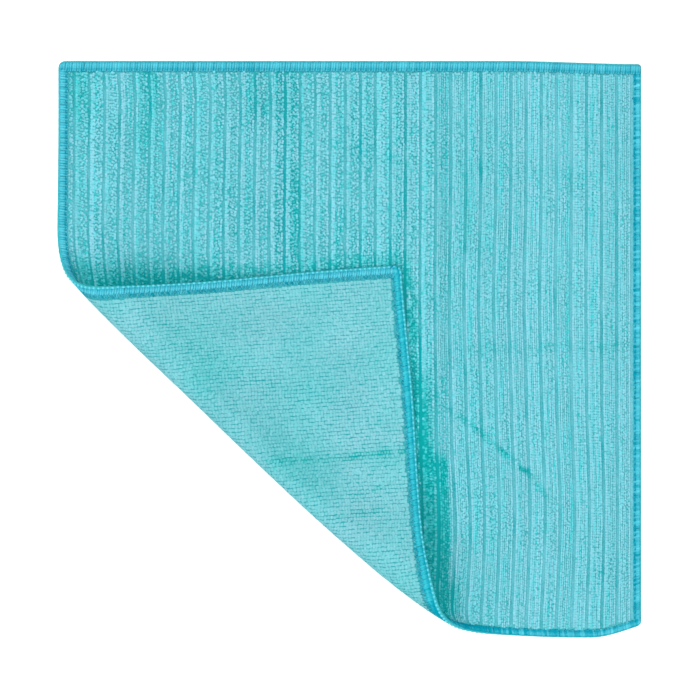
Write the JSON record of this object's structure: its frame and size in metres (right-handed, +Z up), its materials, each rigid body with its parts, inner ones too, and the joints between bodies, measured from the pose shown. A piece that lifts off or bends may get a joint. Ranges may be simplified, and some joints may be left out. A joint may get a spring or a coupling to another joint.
{
  "type": "microfibre cloth",
  "caption": "Square ribbed cleaning cloth lying flat, a corner folded up and over to show its finer back, its edge overlocked all round.",
  "frame": {"origin": "middle of the cloth's footprint, on the surface that it lies on", "axes": "+Z up out of the ribbed face, +Y towards the top edge along the ribs, +X towards the right edge; the folded corner is at -X, -Y"},
  "size_m": [0.3001, 0.296, 0.0266],
  "materials": {
    "ribbed_pile": "soft matte loop pile, aqua",
    "edge_thread": "matte overlock thread, bluer turquoise"
  },
  "bodies": {
    "root": {"cloth": "ribbed_pile"}
  },
  "joints": []
}
